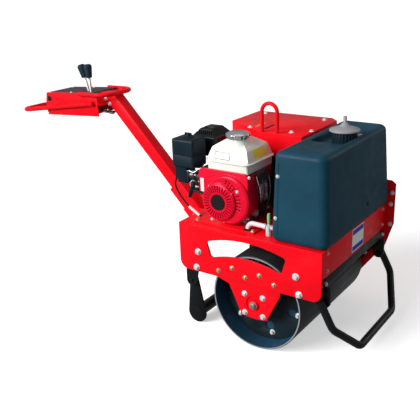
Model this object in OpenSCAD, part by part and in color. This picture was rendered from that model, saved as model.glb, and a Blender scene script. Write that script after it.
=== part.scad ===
// Walk-behind single-drum road roller with a petrol engine and a front water tank.
// X points forward, Y to the machine's left, Z up. The origin is on the ground,
// straight below the middle of the drum's axis.

/* [Drum] */
// Outside radius of the drum
drum_r = 200; // [180:1:210]
// Width of the drum
drum_w = 600; // [540:5:604]
// Thickness of the drum's shell
drum_wall = 8; // [5:1:14]
// Depth of the end discs behind the drum's rims
web_recess = 75; // [50:5:120]
// Diameter of the drum's stub shafts
shaft_d = 40; // [30:1:50]

/* [Frame] */
// Gap between the drum's rims and the side plates
side_gap = 9; // [6:1:16]
// Thickness of the side plates
plate_t = 8; // [6:1:10]
// Rear end of the side plates
frame_x0 = -353; // [-380:1:-330]
// Front end of the side plates
frame_x1 = 290; // [270:1:300]
// Height of the deck's top face
deck_z = 487; // [470:1:500]
// Height of the side plates' lower edge
skirt_z = 285; // [270:1:300]
// Thickness of the deck
deck_t = 8; // [5:1:10]
// Height of the hanger's lowest edge
hanger_z = 139; // [120:1:150]
// Spacing of the four bolts round each stub shaft
bearing_pitch = 83; // [75:1:90]
// Height of the red front plate's lower edge
front_z = 378; // [360:1:400]

/* [Handle] */
// Side of the handle's square tube
beam = 58; // [50:1:64]
// Slope of the handle above level, in degrees
beam_tilt = 46; // [42:1:50]
// Forward place of the handle's centre line at the height below
beam_x = -597; // [-620:1:-580]
// Height of that point of the handle's centre line
beam_z = 538; // [530:1:550]
// Wall of the socket that holds the handle
socket_wall = 8; // [5:1:10]
// Gap between the handle and its socket, on each side
socket_gap = 0.5; // [0.3:0.1:1]
// Slope of the control head above level, in degrees
head_tilt = 3.4; // [0:0.1:8]
// Length of the control head
head_l = 349; // [320:1:370]
// Width of the control head
head_w = 186; // [170:1:200]
// Height of the control head
head_h = 109; // [100:1:120]
// Diameter of the hand rail's tube
rail_d = 22; // [18:1:26]

/* [Engine] */
// Forward place of the engine's crankshaft
crank_x = -176; // [-190:1:-160]
// Height of the crankshaft above the engine's feet
crank_h = 99; // [95:1:106]
// Side place of the starter's outer face
starter_y = -292; // [-300:1:-285]
// Length and width of the fuel tank
fuel_w = 200; // [190:1:210]
// Radius of the fan cover's dish
dish_r = 100; // [95:1:104]
// Thickness of the plate below the engine
mount_t = 6; // [4:1:10]
// Number of slots in the starter's ring
starter_slots = 32; // [24:1:40]

/* [Tank and guards] */
// Length of the water tank at its bottom
tank_l = 227; // [200:1:228]
// How far the tank's front and rear faces lean in, from bottom to top
tank_lean = 21; // [0:1:30]
// How far the tank's ends lean in, from bottom to top
tank_end_lean = 20; // [0:1:40]
// How far the water tank stands back from each side of the frame
tank_inset = 2; // [2:1:30]
// Height of the water tank
tank_h = 348; // [320:1:360]
// Rear face of the water tank
tank_x = 78; // [74:1:84]
// Rounding of the water tank's lower edges
tank_r = 36; // [25:1:45]
// Rounding of the water tank's upper edges
tank_top_r = 18; // [12:1:30]
// Rounding of the water tank's four upright corners
tank_plan_r = 14; // [10:1:36]
// Height of the belt hood's top
hood_z = 824; // [810:1:840]
// Width of the drive guard outside the left side plate
guard_w = 55; // [45:1:80]
// Width of the drive guard's bolted rim
guard_rim = 26; // [20:1:32]
// Thickness of the lifting eye's rod
eye_d = 16; // [12:1:18]
// Width of the lifting eye, between the middles of its rods
eye_w = 70; // [60:1:80]

/* [Stands] */
// Diameter of the front hoop's tube
hoop_d = 30; // [26:1:32]
// Side place of the front hoop's arms
hoop_y = 296; // [292:1:297]
// Side place of the rear stand's legs
leg_y = 246; // [240:1:255]
// Radius of the rear stand's feet
foot_r = 45; // [40:1:48]
// Forward place of the stand's pivot
leg_x = -338; // [-345:1:-330]
// Height of the stand's pivot
leg_z = 205; // [195:1:215]
// Diameter of the pivot pins
pin_d = 16; // [12:1:20]
// Running gap of a pin in its bore, on each side
pin_gap = 0.05; // [0.02:0.01:0.1]

/* [Hidden] */
$fn = 64;
inner = drum_w / 2 + side_gap;
side = inner + plate_t;
tank_w = 2 * (side - tank_inset);
drum_z = drum_r;
drum_y = drum_w / 2;
web_y = drum_y - web_recess;
crank_z = deck_z + mount_t + crank_h;
foot_z = deck_z + mount_t;
hoop_pin = [282, 271];
hoop_lean = 62;
lap = 0.3;
bearing_reach = 60;
pocket_h = 26;
cap = [tank_x + tank_l / 2 + 22, 18];
case_x = crank_x - 75;
case_l = 165;
dish = [crank_x + 33, crank_z + 10];
dish_y = starter_y + 17;
head_y = -140;
fuel_z = foot_z + 212;
fuel_cap_at = [116, 62];
fuel_cap_h = 343;
muffler_h = 232;
hanger_step = 3;
bracket_y = hoop_y - hoop_d / 2 - 12;
bar_l = 2 * bracket_y + 24;

RED = "#d8151d";
BLACK = "#1d2024";
STEEL = "#9aa0a6";
DARK_STEEL = "#3a4149";

// A flat outline in the X-Z plane, given thickness along Y from y0 to y1
module slab(y0, y1) {
    translate([0, y1, 0]) rotate([90, 0, 0]) linear_extrude(y1 - y0) children();
}

// A round bar along Y from y0 to y1
module bar_y(d, y0, y1) {
    translate([0, y0, 0]) rotate([-90, 0, 0]) cylinder(d = d, h = y1 - y0);
}

// A rectangle from a to b with round corners
module round_rect(a, b, r) {
    for (x = [a.x + r, b.x - r], y = [a.y + r, b.y - r]) translate([x, y]) circle(r);
    translate([a.x + r, a.y]) square([b.x - a.x - 2 * r, b.y - a.y]);
    translate([a.x, a.y + r]) square([b.x - a.x, b.y - a.y - 2 * r]);
}

// A wedge-shaped piece of a ring between two angles
module ring_piece(r0, r1, a0, a1) {
    intersection() {
        difference() {
            circle(r1, $fn = 160);
            circle(r0, $fn = 160);
        }
        polygon([[0, 0], for (i = [0:4]) let (a = a0 + (a1 - a0) * i / 4) 2 * r1 * [cos(a), sin(a)]]);
    }
}

// A curved slot with round corners, about the point c
module arc_slot(c, r0, r1, a0, a1, r) {
    step = asin(r / r1);
    translate(c) {
        ring_piece(r0, r1, a0 + step, a1 - step);
        ring_piece(r0 + r, r1 - r, a0, a1);
        for (a = [a0 + step, a1 - step], d = [r0 + r, r1 - r]) translate(d * [cos(a), sin(a)]) circle(r);
    }
}

// Four bolt places of a square pattern round the drum's axis
module bearing_holes(d) {
    for (x = [-1, 1], z = [-1, 1]) translate([x * bearing_pitch / 2, drum_z + z * bearing_pitch / 2]) circle(d = d);
}

// A tube along straight lines and arcs, given as a list of points joined end to end
module tube(pts, d) {
    for (i = [0:len(pts) - 2]) {
        v = pts[i + 1] - pts[i];
        translate(pts[i]) rotate([0, acos(v.z / norm(v)), atan2(v.y, v.x)]) cylinder(d = d, h = norm(v), $fn = 32);
    }
    for (i = [1:len(pts) - 2]) translate(pts[i]) sphere(d = d + lap, $fn = 32);
}

function unit(v) = v / norm(v);
function turn_at(p, i) = acos(unit(p[i] - p[i - 1]) * unit(p[i + 1] - p[i]));
function cut_at(p, i, r) = i == 0 || i == len(p) - 1 ? 0 : r * tan(turn_at(p, i) / 2);

// A tube in the X-Y plane along the points p, bent to the radius r at each inner point.
// Its straight lengths lap over the slightly thinner bends.
module bent_tube(p, r, d) {
    for (i = [0:len(p) - 2]) {
        u = unit(p[i + 1] - p[i]);
        a = p[i] + (cut_at(p, i, r) - lap) * u;
        b = p[i + 1] - (cut_at(p, i + 1, r) - lap) * u;
        translate([a.x, a.y, 0]) rotate([0, 0, atan2(u.y, u.x)]) rotate([0, 90, 0]) cylinder(d = d, h = norm(b - a));
    }
    for (i = [1:len(p) - 2]) {
        u = unit(p[i] - p[i - 1]);
        way = sign(cross(u, p[i + 1] - p[i]));
        start = p[i] - cut_at(p, i, r) * u;
        middle = start + way * r * [-u.y, u.x];
        from = atan2(start.y - middle.y, start.x - middle.x);
        translate([middle.x, middle.y, 0]) rotate(way > 0 ? from : from - turn_at(p, i))
            rotate_extrude(angle = turn_at(p, i)) translate([r, 0]) circle(d = d - lap / 3);
    }
}

// Frame

module plate_outline() {
    difference() {
        union() {
            round_rect([frame_x0, skirt_z], [frame_x1, deck_z - 30], 38);
            translate([frame_x0, deck_z - 90]) square([frame_x1 - frame_x0, 90]);
            polygon([[-178, skirt_z + 1], [-115, 266], [-62, hanger_z + 16], [62, hanger_z + 16], [117, 266],
                [119, skirt_z + 1]]);
            intersection() {
                translate([0, drum_z + 200]) circle(drum_z + 200 - hanger_z, $fn = 160);
                translate([-62, hanger_z - 10]) square([124, 40]);
            }
        }
        arc_slot([-34, -101], 490, 560, 71.5, 109.2, 14);
        translate([0, drum_z]) circle(d = shaft_d + 30);
        bearing_holes(14);
    }
}

// A side plate from y0, with its hanger set back a little from the outer face on the side s
module side_plate(y0, s) {
    face = s > 0 ? y0 + plate_t - hanger_step : y0 - 1;
    color(RED) difference() {
        slab(y0, y0 + plate_t) plate_outline();
        slab(face, face + hanger_step + 1) translate([-180, 0]) square([302, skirt_z]);
    }
}

module side_plate_right() {
    side_plate(-side, -1);
}

module side_plate_left() {
    side_plate(inner, 1);
}

module deck() {
    color(RED) {
        translate([frame_x0, -inner, deck_z - deck_t]) cube([frame_x1 - frame_x0 - 6, 2 * inner, deck_t]);
        // Lip along the rear edge
        translate([frame_x0, -inner, deck_z - 40]) cube([6, 2 * inner, 40]);
    }
}

module front_plate() {
    color(RED) translate([frame_x1 - 6, -inner, front_z]) cube([6, 2 * inner, deck_z - front_z]);
}

// Black cross bar below the front plate, with the hoop's brackets
module front_bar() {
    color(BLACK) difference() {
        union() {
            translate([frame_x1 - 40, -bar_l / 2, front_z - 40]) cube([40, bar_l, 40]);
            for (s = [-1, 1]) slab(s * bracket_y - 6, s * bracket_y + 6) hoop_bracket();
        }
        translate([hoop_pin.x, 0, hoop_pin.y]) bar_y(pin_d + 2 * pin_gap, -400, 400);
    }
}

module hoop_bracket() {
    translate(hoop_pin) circle(24);
    translate([hoop_pin.x - 24, hoop_pin.y]) square([32, 80]);
    translate([hoop_pin.x - 24, hoop_pin.y]) square([48, 62]);
}

// Cross tube below the deck's rear edge, with the cheeks that hold the handle's socket
module rear_cross() {
    cheek = beam / 2 + socket_gap + socket_wall;
    color(RED) {
        difference() {
            translate([frame_x0 + 6, -inner, deck_z - deck_t - 80]) cube([80, 2 * inner, 80]);
            translate([frame_x0 + 12, -inner - 1, deck_z - deck_t - 74]) cube([68, 2 * inner + 2, 68]);
        }
        for (s = [-1, 1]) slab(s > 0 ? cheek : -cheek - 10, s > 0 ? cheek + 10 : -cheek)
            polygon([[frame_x0 + 6, deck_z - 44], [frame_x0 + 6, 350], [-400, 322], [-446, 330], [-536, 424],
                [-500, deck_z - 44]]);
        // Brackets that carry the stand's pivot
        for (s = [-1, 1]) slab(s * (leg_y + 16) - 5, s * (leg_y + 16) + 5) stand_bracket();
    }
}

module stand_bracket() {
    difference() {
        union() {
            translate([leg_x, leg_z]) circle(24);
            polygon([[leg_x - 24, leg_z], [leg_x + 24, leg_z], [leg_x + 60, deck_z - deck_t - 80],
                [frame_x0 + 6, deck_z - deck_t - 80], [leg_x - 24, leg_z + 60]]);
        }
        translate([leg_x, leg_z]) circle(d = pin_d + 2 * pin_gap);
    }
}

// Blade that scrapes the drum's front, hung from the front bar
module scraper() {
    color(DARK_STEEL) slab(-drum_y + 8, drum_y - 8) polygon([[frame_x1 - 46, front_z], [frame_x1 - 40, front_z],
        [frame_x1 - 40, front_z - 44], [198, 284], [193, 287], [frame_x1 - 46, front_z - 40]]);
}

// Flanged bearing housing bolted inside each hanger
module bearing(s) {
    y0 = s > 0 ? drum_y - bearing_reach : -inner;
    y1 = s > 0 ? inner : -drum_y + bearing_reach;
    color(STEEL) difference() {
        union() {
            translate([0, 0, drum_z]) bar_y(84, y0, y1);
            slab(s > 0 ? inner - 10 : -inner, s > 0 ? inner : -inner + 10)
                round_rect([-58, drum_z - 58], [58, drum_z + 58], 16);
        }
        translate([0, 0, drum_z]) bar_y(shaft_d + 0.1, -400, 400);
    }
}

module bearing_right() {
    bearing(-1);
}

module bearing_left() {
    bearing(1);
}

// Guards

module guard_outline() {
    polygon([[-62, 128], [150, 128], [181, 139], [292, 289], [325, 395], [325, 574], [306, 588], [-300, 588],
        [-330, 560], [-330, 330], [-178, 300], [-112, 262]]);
}

module drive_guard() {
    color(RED) {
        difference() {
            slab(side, side + guard_w) offset(delta = -guard_rim) guard_outline();
            slab(side - 1, side + guard_w - 5) offset(delta = -guard_rim - 5) guard_outline();
        }
        // Flat rim for the bolts, which also closes the gap ahead of the side plate
        slab(side, side + 5) difference() {
            guard_outline();
            intersection() {
                offset(delta = -guard_rim - 5) guard_outline();
                translate([-400, 0]) square([380 + frame_x1, 700]);
            }
        }
    }
}

module hood_outline(t = 0) {
    offset(delta = -t) polygon([[55, -30], [-138, -30], [-355, 104], [-355, 340], [15, 340], [55, 300]]);
}

module belt_hood() {
    color(RED) difference() {
        union() {
            translate([0, 0, deck_z]) linear_extrude(hood_z - deck_z) intersection() {
                hood_outline();
                translate([-400, -100]) square([500, 100 + side - 1]);
            }
            translate([0, 0, 588]) linear_extrude(hood_z - 588) hood_outline();
        }
        translate([0, 0, 593]) linear_extrude(hood_z - 593 - 4) hood_outline(4);
        translate([0, 0, deck_z - 1]) linear_extrude(120) intersection() {
            hood_outline(4);
            translate([-400, -100]) square([500, 100 + side - 5]);
        }
        // Opening for the engine's shaft
        translate([crank_x, 0, crank_z]) bar_y(70, -40, 14);
        // Slot in the top
        translate([-154, 30, hood_z - 10]) cube([14, 92, 20]);
    }
}

// Bent rod for the crane hook, on the hood's top
module lifting_eye() {
    color(RED) translate([-95, -20, hood_z]) {
        for (s = [-1, 1]) translate([s * eye_w / 2, 0, 0]) cylinder(d = eye_d, h = 84);
        translate([0, 0, 84]) rotate([90, 0, 0]) rotate_extrude(angle = 180) translate([eye_w / 2, 0]) circle(d = eye_d);
    }
}

// Engine

module engine_mount() {
    color(RED) translate([-300, -285, deck_z]) cube([285, 250, mount_t]);
}

module crankcase() {
    color("#8d9095") {
        translate([case_x, -222, foot_z + 12]) cube([case_l, 180, 150]);
        for (x = [-80, 62]) translate([crank_x + x, -222, foot_z]) cube([32, 180, 16]);
        translate([crank_x, 0, crank_z]) bar_y(120, -44, -36);
        translate([crank_x, 0, crank_z]) bar_y(20, -40, 20);
    }
}

// Inclined cylinder with cooling fins, its head and valve cover, cut flat where it meets the crankcase
module cylinder_block() {
    color("#8d9095") difference() {
        translate([crank_x - 30, head_y, crank_z + 8]) rotate([0, -65, 0]) {
            translate([-38, -50, 20]) cube([76, 100, 100]);
            for (i = [0:3]) translate([-46, -60, 44 + i * 14]) cube([92, 120, 6]);
            translate([-42, -60, 104]) cube([84, 120, 28]);
            translate([-30, -42, 130]) cube([60, 84, 16]);
        }
        translate([case_x, -300, foot_z]) cube([200, 300, 300]);
    }
}

module fan_outline(t = 0) {
    translate(dish) circle(dish_r - t, $fn = 96);
    round_rect([crank_x - 107 + t, crank_z - 6 + t], [crank_x + 123 - t, crank_z + 124 - t], 24 - t);
}

module fan_cover() {
    block_y = dish_y + 13;
    case_y = starter_y + 70;
    color("#c8102e") difference() {
        union() {
            slab(block_y, case_y) fan_outline();
            slab(dish_y + 6, block_y + 1) translate(dish) circle(dish_r);
            translate([dish.x, dish_y, dish.y]) rotate([-90, 0, 0]) cylinder(r1 = dish_r - 8, r2 = dish_r, h = 6);
            // Wall that runs on past the front of the crankcase
            slab(case_y - 1, case_y + 32) intersection() {
                fan_outline();
                translate([case_x + case_l + 2, crank_z - 120]) square([60, 300]);
            }
        }
        slab(block_y + 4, case_y + 33) fan_outline(4);
        slab(dish_y + 4, block_y + 5) translate(dish) circle(dish_r - 6);
        // Two groups of air slots in the dish
        for (a = [-14, -5, 4, 13, 22, 42, 51, 60, 69], r = [79, 90])
            translate([crank_x, dish_y - 1, crank_z]) rotate([0, -a, 0]) translate([r, 0, -2.2]) cube([8, 6, 4.4]);
        translate([-300, starter_y + 37.7, fuel_z - 0.3]) cube([300, 100, 60]);
    }
}

// Recoil starter: a drum with a ring of slots and a black middle
module starter() {
    slot_w = 3.6;
    color("#c8102e") translate([crank_x, 0, crank_z]) {
        difference() {
            union() {
                bar_y(152, starter_y + 9, dish_y);
                translate([0, starter_y + 4, 0]) rotate([-90, 0, 0]) cylinder(d1 = 142, d2 = 152, h = 5.3);
            }
            bar_y(142, starter_y + 8, dish_y + 1);
            for (i = [0:starter_slots - 1]) rotate([0, i * 360 / starter_slots, 0])
                translate([42, starter_y + 3, -slot_w / 2]) cube([26, 6, slot_w]);
            bar_y(66, starter_y + 3, starter_y + 6);
        }
    }
    color(BLACK) translate([crank_x, 0, crank_z]) bar_y(64, starter_y + 1, starter_y + 6);
}

// Grip of the starter's rope, resting against the starter
module pull_grip() {
    color(BLACK) translate([crank_x - 130, starter_y + 12, crank_z + 30]) {
        rotate([0, 22, 0]) for (s = [0, 180]) rotate([s, 0, 0]) cylinder(d1 = 20, d2 = 15, h = 35);
        rotate([0, 95, 0]) cylinder(d1 = 15, d2 = 9, h = 24);
        rotate([0, 95, 0]) cylinder(d = 9, h = 57.6);
    }
}

// Place of the fuel tank's rear right corner, at the height of the engine's feet
module at_fuel_tank() {
    translate([-253, -254, foot_z]) children();
}

// Half of the fuel tank's form: upright below its seam, sloping in above it, t mm inside the outer face
module fuel_outline(t) {
    hull() for (x = [0, 1]) mirror([x, 0]) translate([-x * fuel_w, 0]) {
        translate([18, 226]) circle(14 - t);
        translate([14, 254]) circle(10 - t);
        translate([35, 297]) circle(16 - t);
        translate([74, 315]) circle(22 - t);
    }
}

module fuel_form(t) {
    intersection() {
        slab(-10, fuel_w + 10) fuel_outline(t);
        rotate([90, 0, 90]) linear_extrude(fuel_w + 10) fuel_outline(t);
        linear_extrude(400) round_rect([t, t], [fuel_w - t, fuel_w - t], 28 - t);
    }
}

module fuel_tank() {
    color("#efeee6") at_fuel_tank() difference() {
        union() {
            fuel_form(0);
            translate([-6, -6, 254]) linear_extrude(4) round_rect([0, 0], [fuel_w + 12, fuel_w + 12], 32);
            translate([fuel_cap_at.x, fuel_cap_at.y, 300]) cylinder(d = 78, h = fuel_cap_h - 300);
        }
        fuel_form(4);
        translate([fuel_cap_at.x, fuel_cap_at.y, 290]) cylinder(d = 44, h = 60);
    }
}

// Plates that carry the fuel tank above the engine
module tank_brackets() {
    color(BLACK) at_fuel_tank() {
        for (x = [30, 150]) translate([x, 40, 162]) cube([5, 130, 50]);
        // Angle at the front, seen below the tank
        translate([190, 70, 162]) cube([4, 90, 50]);
        translate([155, 90, 162]) cube([37, 50, 4]);
    }
}

module fuel_cap() {
    color(STEEL) at_fuel_tank() translate([fuel_cap_at.x, fuel_cap_at.y, fuel_cap_h]) difference() {
        union() {
            cylinder(d = 88, h = 8);
            translate([0, 0, 8]) cylinder(d = 96, h = 9);
            translate([0, 0, 17]) cylinder(d1 = 96, d2 = 70, h = 7);
        }
        // Finger notches round the rim
        for (i = [0:7]) rotate(i * 45 + 12) translate([51, 0, -1]) cylinder(d = 18, h = 17);
    }
}

// A box from the origin to size, with its edges rounded in all three directions
module round_box(size, r) {
    intersection() {
        linear_extrude(size.z) round_rect([0, 0], [size.x, size.y], r);
        slab(0, size.y) round_rect([0, 0], [size.x, size.z], r);
        rotate([90, 0, 90]) linear_extrude(size.x) round_rect([0, 0], [size.y, size.z], r);
    }
}

module air_cleaner() {
    color(BLACK) {
        translate([-417, -262, foot_z + 206]) {
            difference() {
                round_box([111, 98, 120], 14);
                // Seam between the cover and its base
                translate([0, 0, 50]) linear_extrude(2.5) difference() {
                    translate([-1, -1]) square([113, 100]);
                    round_rect([2, 2], [109, 96], 12);
                }
            }
            translate([55, 49, 118]) cylinder(d = 46, h = 5);
            translate([55, 49, 122]) cylinder(d = 16, h = 14);
            translate([38, 47, 126]) cube([34, 4, 12]);
        }
        // Elbow that leads down to the carburettor
        translate([-408, -252, foot_z + 158]) cube([58, 62, 52]);
        translate([-396, -252, foot_z + 140]) cube([46, 48, 20]);
    }
}

module carburettor() {
    color("#55595e") {
        translate([-349.7, -226, foot_z + 172]) rotate([0, 90, 0]) cylinder(d = 46, h = 56);
        translate([-349.7, -252, foot_z + 146]) cube([7, 52, 50]);
        translate([-330, -236, foot_z + 146]) cube([36, head_y - 60 + 236, 44]);
        // Float bowl with its drain bolt
        translate([-322, -222, foot_z + 112]) cylinder(d = 44, h = 38);
        translate([-322, -222, foot_z + 104]) cylinder(d1 = 20, d2 = 36, h = 9);
        translate([-322, -222, foot_z + 98]) cylinder(d = 11, h = 8);
        // Throttle and choke levers
        translate([-340, -256, foot_z + 190]) cube([44, 5, 12]);
        translate([-318, -256, foot_z + 160]) cube([8, 30, 34]);
    }
}

// Switch box, oil plug and governor parts on the front of the crankcase
module engine_controls() {
    color(DARK_STEEL) translate([case_x + case_l, -186, foot_z]) {
        translate([0, 14, 96]) cube([34, 60, 54]);
        translate([0, 0, 60]) cube([4, 120, 90]);
        for (i = [0:3]) translate([0, 12 + i * 32, 76]) rotate([0, 90, 0]) cylinder(d = 16, h = 14);
        translate([0, 18, 36]) rotate([0, 90, 0]) cylinder(d = 30, h = 16);
        translate([15, 18, 36]) rotate([0, 90, 0]) cylinder(d = 20, h = 12);
        translate([8, 4, 66]) cylinder(d = 7, h = 92);
    }
}

// Muffler box with slots, and the pipe that comes round from the head's far side
module muffler_outline(w, t) {
    hull() for (p = [[6, 6], [w - 6, 6], [w - 6, 76], [w - 30, 104], [30, 104], [6, 76]]) translate(p) circle(6 - t);
}

module muffler_form(t) {
    intersection() {
        slab(-10, 150) muffler_outline(111, t);
        rotate([90, 0, 90]) linear_extrude(120) muffler_outline(135, t);
    }
}

module muffler() {
    pipe = [-312, head_y + 82, foot_z + 170];
    color(BLACK) {
        translate([-398, -140, foot_z + muffler_h]) {
            difference() {
                muffler_form(0);
                muffler_form(3);
                // Slanting slots in the sloping near face
                for (i = [0:7]) translate([19 + i * 10, 17, 96]) rotate([49, 0, 0]) rotate(14) cube([4.5, 20, 12], center = true);
            }
            translate([32, 48, 109.7]) cube([48, 46, 3]);
        }
        translate(pipe) {
            cylinder(d = 30, h = foot_z + muffler_h + 2 - pipe.z);
            sphere(d = 30 + lap, $fn = 48);
            bar_y(30, head_y + 60 - pipe.y, 0);
        }
    }
}

// Water

// A four-sided outline from a at the bottom to b at the top, whose sides lean in, with round corners
module leaning_rect(a, b, lean, r, top_r) {
    hull() {
        for (x = [a.x + r, b.x - r]) translate([x, a.y + r]) circle(r);
        for (x = [a.x + lean + top_r, b.x - lean - top_r]) translate([x, b.y - top_r]) circle(top_r);
    }
}

// The tank's form, t mm inside its outer faces, up to the height h over the deck
module tank_body(t, h) {
    r = tank_r - t;
    y = tank_w / 2 - t;
    intersection() {
        slab(-tank_w, tank_w) leaning_rect([tank_x + t, deck_z + t], [tank_x + tank_l - t, deck_z + h],
            tank_lean * h / tank_h, r, tank_top_r - t);
        rotate([90, 0, 90]) linear_extrude(tank_x + tank_l + 50) leaning_rect([-y, deck_z + t], [y, deck_z + h],
            tank_end_lean * h / tank_h, r + 8, tank_top_r - t);
        linear_extrude(deck_z + tank_h + 50) round_rect([tank_x + t, -y], [tank_x + tank_l - t, y], tank_plan_r - t);
    }
}

// Moulded tank, 5 mm thick, with a filler pocket in its top
module water_tank() {
    color(BLACK) difference() {
        tank_body(0, tank_h);
        tank_body(5, tank_h - pocket_h - 6);
        translate([0, 0, deck_z + tank_h - pocket_h]) linear_extrude(40)
            round_rect([tank_x + 44, cap.y - 122], [tank_x + tank_l - 42, cap.y + 124], 26);
        translate([cap.x, cap.y, deck_z + tank_h - 60]) cylinder(d = 70, h = 60);
    }
}

module tank_cap() {
    color(BLACK) translate([cap.x, cap.y, deck_z + tank_h - pocket_h]) {
        cylinder(d = 94, h = 48);
        for (i = [0:23]) rotate(i * 15) translate([46, -3, 6]) cube([3, 6, 36]);
    }
    color(STEEL) translate([cap.x, cap.y, deck_z + tank_h + 48 - pocket_h]) {
        cylinder(d = 118, h = 6);
        translate([0, 0, 6]) cylinder(d1 = 118, d2 = 52, h = 12);
        translate([0, 0, 17]) cylinder(d1 = 44, d2 = 20, h = 14);
        cylinder(d = 14, h = 56);
    }
}

module water_valve() {
    color("#d9c7cf") translate([40, 55 - side, deck_z]) {
        cylinder(d = 24, h = 40);
        translate([0, 0, 34]) rotate([0, 90, 0]) cylinder(d = 18, h = tank_x - 40 - 0.3);
        translate([-4, -4, 40]) cube([8, 8, 50]);
    }
}

// Hose from the valve down through the deck
module water_hose() {
    color("#e6b7c4") translate([0, 55 - side, 0]) rotate([90, 0, 0])
        bent_tube([[27.4, deck_z + 34], [-54, deck_z + 37], [-54, foot_z + 0.6]], 26, 19);
}

// Sprinkler pipe under the deck, across the drum
module spray_bar() {
    color(STEEL) difference() {
        translate([60, 0, deck_z - 30]) bar_y(22, -inner, inner);
        for (i = [-8:8]) translate([60, i * 34, deck_z - 48]) cylinder(d = 3, h = 12, $fn = 24);
    }
}

// Handle

// Puts its children in the handle's own frame: Z runs up along the handle
module along_handle() {
    translate([beam_x, 0, beam_z]) rotate([0, beam_tilt - 90, 0]) children();
}

module square_tube(size, wall, z0, z1) {
    difference() {
        translate([-size / 2, -size / 2, z0]) cube([size, size, z1 - z0]);
        translate([-size / 2 + wall, -size / 2 + wall, z0 - 1]) cube([size - 2 * wall, size - 2 * wall, z1 - z0 + 2]);
    }
}

module socket() {
    outer = beam + 2 * socket_gap + 2 * socket_wall;
    color(RED) along_handle() square_tube(outer, socket_wall, -245, -12);
}

module handle_beam() {
    color(RED) intersection() {
        union() {
            along_handle() square_tube(beam, 5, -235, 600);
            translate([-1060, -beam / 2 + 2, 918]) cube([200, beam - 4, 6]);
        }
        along_handle() translate([-beam / 2, -beam / 2, -240]) cube([beam, beam, 900]);
        translate([-1200, -100, 0]) cube([1000, 200, 924]);
    }
}

// Puts its children in the control head's own frame, whose origin is the middle of its top's front end
module at_head() {
    translate([-976.8, 0, 929.9]) rotate([0, -head_tilt, 0]) children();
}

module head_side() {
    difference() {
        polygon([[-head_l + 12, 0], [0, 0], [0, -head_h], [-head_l + 16, -head_h], [-head_l, -head_h + 14],
            [-head_l, -46]]);
        translate([-head_l + 30, -30]) circle(11);
    }
}

module control_head() {
    color(RED) at_head() {
        for (s = [-1, 1]) slab(s > 0 ? head_w / 2 - 4 : -head_w / 2, s > 0 ? head_w / 2 : -head_w / 2 + 4) head_side();
        translate([-head_l, -head_w / 2, -head_h]) cube([head_l - 60, head_w, 4]);
        translate([-head_l + 2, -head_w / 2 + 3, -head_h]) cube([4, head_w - 6, 60]);
    }
    // Cross plate that the handle's rear face is bolted to
    color(RED) along_handle() translate([-beam / 2 - 5, -head_w / 2 + 3, 494]) cube([5, head_w - 6, 66]);
}

module control_panel() {
    color(BLACK) at_head() difference() {
        translate([-head_l + 14, -head_w / 2 + 4, -4]) cube([head_l - 50, head_w - 8, 4]);
        for (y = [-54, -24]) translate([-152, y - 7, -6]) cube([94, 14, 8]);
    }
}

// Rail round the rear of the control head
module hand_rail() {
    y = head_w / 2 + rail_d / 2 + 0.3;
    rail_l = head_l + 170;
    color(RED) translate([-993, 0, 882.2]) rotate([0, -8.2, 0])
        bent_tube([[0, -y], [-rail_l, -y], [-rail_l, y], [0, y]], 70, rail_d);
}

// Rail round the front of the handle's top end
module lever_guard() {
    y = head_w / 2 + 10.3;
    color(RED) translate([-1080, 0, 921]) rotate([0, -1, 0])
        bent_tube([[0, -y], [168, -y], [168, y], [0, y]], 64, 20);
}

module lever(x, y, lean) {
    at_head() translate([x, y, -12]) rotate([0, lean, 0]) children();
}

module lever_rods() {
    color(STEEL) {
        lever(-110, -24, -14) cylinder(d = 12, h = 78, $fn = 32);
        lever(-68, -54, -1) cylinder(d = 12, h = 78, $fn = 32);
    }
    // Cross shaft that the levers turn on
    color(STEEL) at_head() for (x = [-110, -68]) translate([x, 0, -12]) bar_y(10, -head_w / 2 + 4, head_w / 2 - 4);
}

module knob() {
    cylinder(d1 = 28, d2 = 40, h = 54, $fn = 48);
    translate([0, 0, 54]) cylinder(d1 = 40, d2 = 26, h = 9, $fn = 48);
}

module lever_knobs() {
    color(BLACK) {
        lever(-110, -24, -14) translate([0, 0, 78]) knob();
        lever(-68, -54, -1) translate([0, 0, 78]) knob();
    }
}

// Throttle cable from the carburettor down to the deck, and its end below the control head
module throttle_cable() {
    color(BLACK) {
        tube([[-411.3, -222, 655], [-428, -223, 634], [-432, -224, 606], [-412, -225, 570], [-362, -228, 524],
            [-306, -231, 494.4], [-303, -231, 494.1]], 8);
        // Sleeve where it nears the deck
        tube([[-362, -228, 524], [-308, -231, 495.4]], 13);
        tube([[-1022, -14, 834], [-968, -12, 828], [-930.8, -8, 838]], 10);
    }
}

// Drum

module drum_shell() {
    color(DARK_STEEL) translate([0, 0, drum_z]) rotate([90, 0, 0]) difference() {
        union() {
            cylinder(r = drum_r, h = drum_w - 4, center = true, $fn = 180);
            cylinder(r = drum_r - 2, h = drum_w, center = true, $fn = 180);
        }
        cylinder(r = drum_r - drum_wall, h = drum_w + 2, center = true, $fn = 180);
    }
}

module drum_webs() {
    color(BLACK) for (s = [-1, 1]) translate([0, s > 0 ? web_y - 10 : -web_y, drum_z]) rotate([-90, 0, 0])
        difference() {
            cylinder(r = drum_r - drum_wall, h = 10, $fn = 180);
            translate([0, 0, -1]) cylinder(d = shaft_d, h = 12);
            for (i = [0:5]) rotate(i * 60 + 20) translate([130, 0, -1]) cylinder(d = 38, h = 12);
        }
}

module drum_shafts() {
    color(STEEL) translate([0, 0, drum_z]) bar_y(shaft_d, -side - 14, side + 30);
}

// Stands

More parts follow.
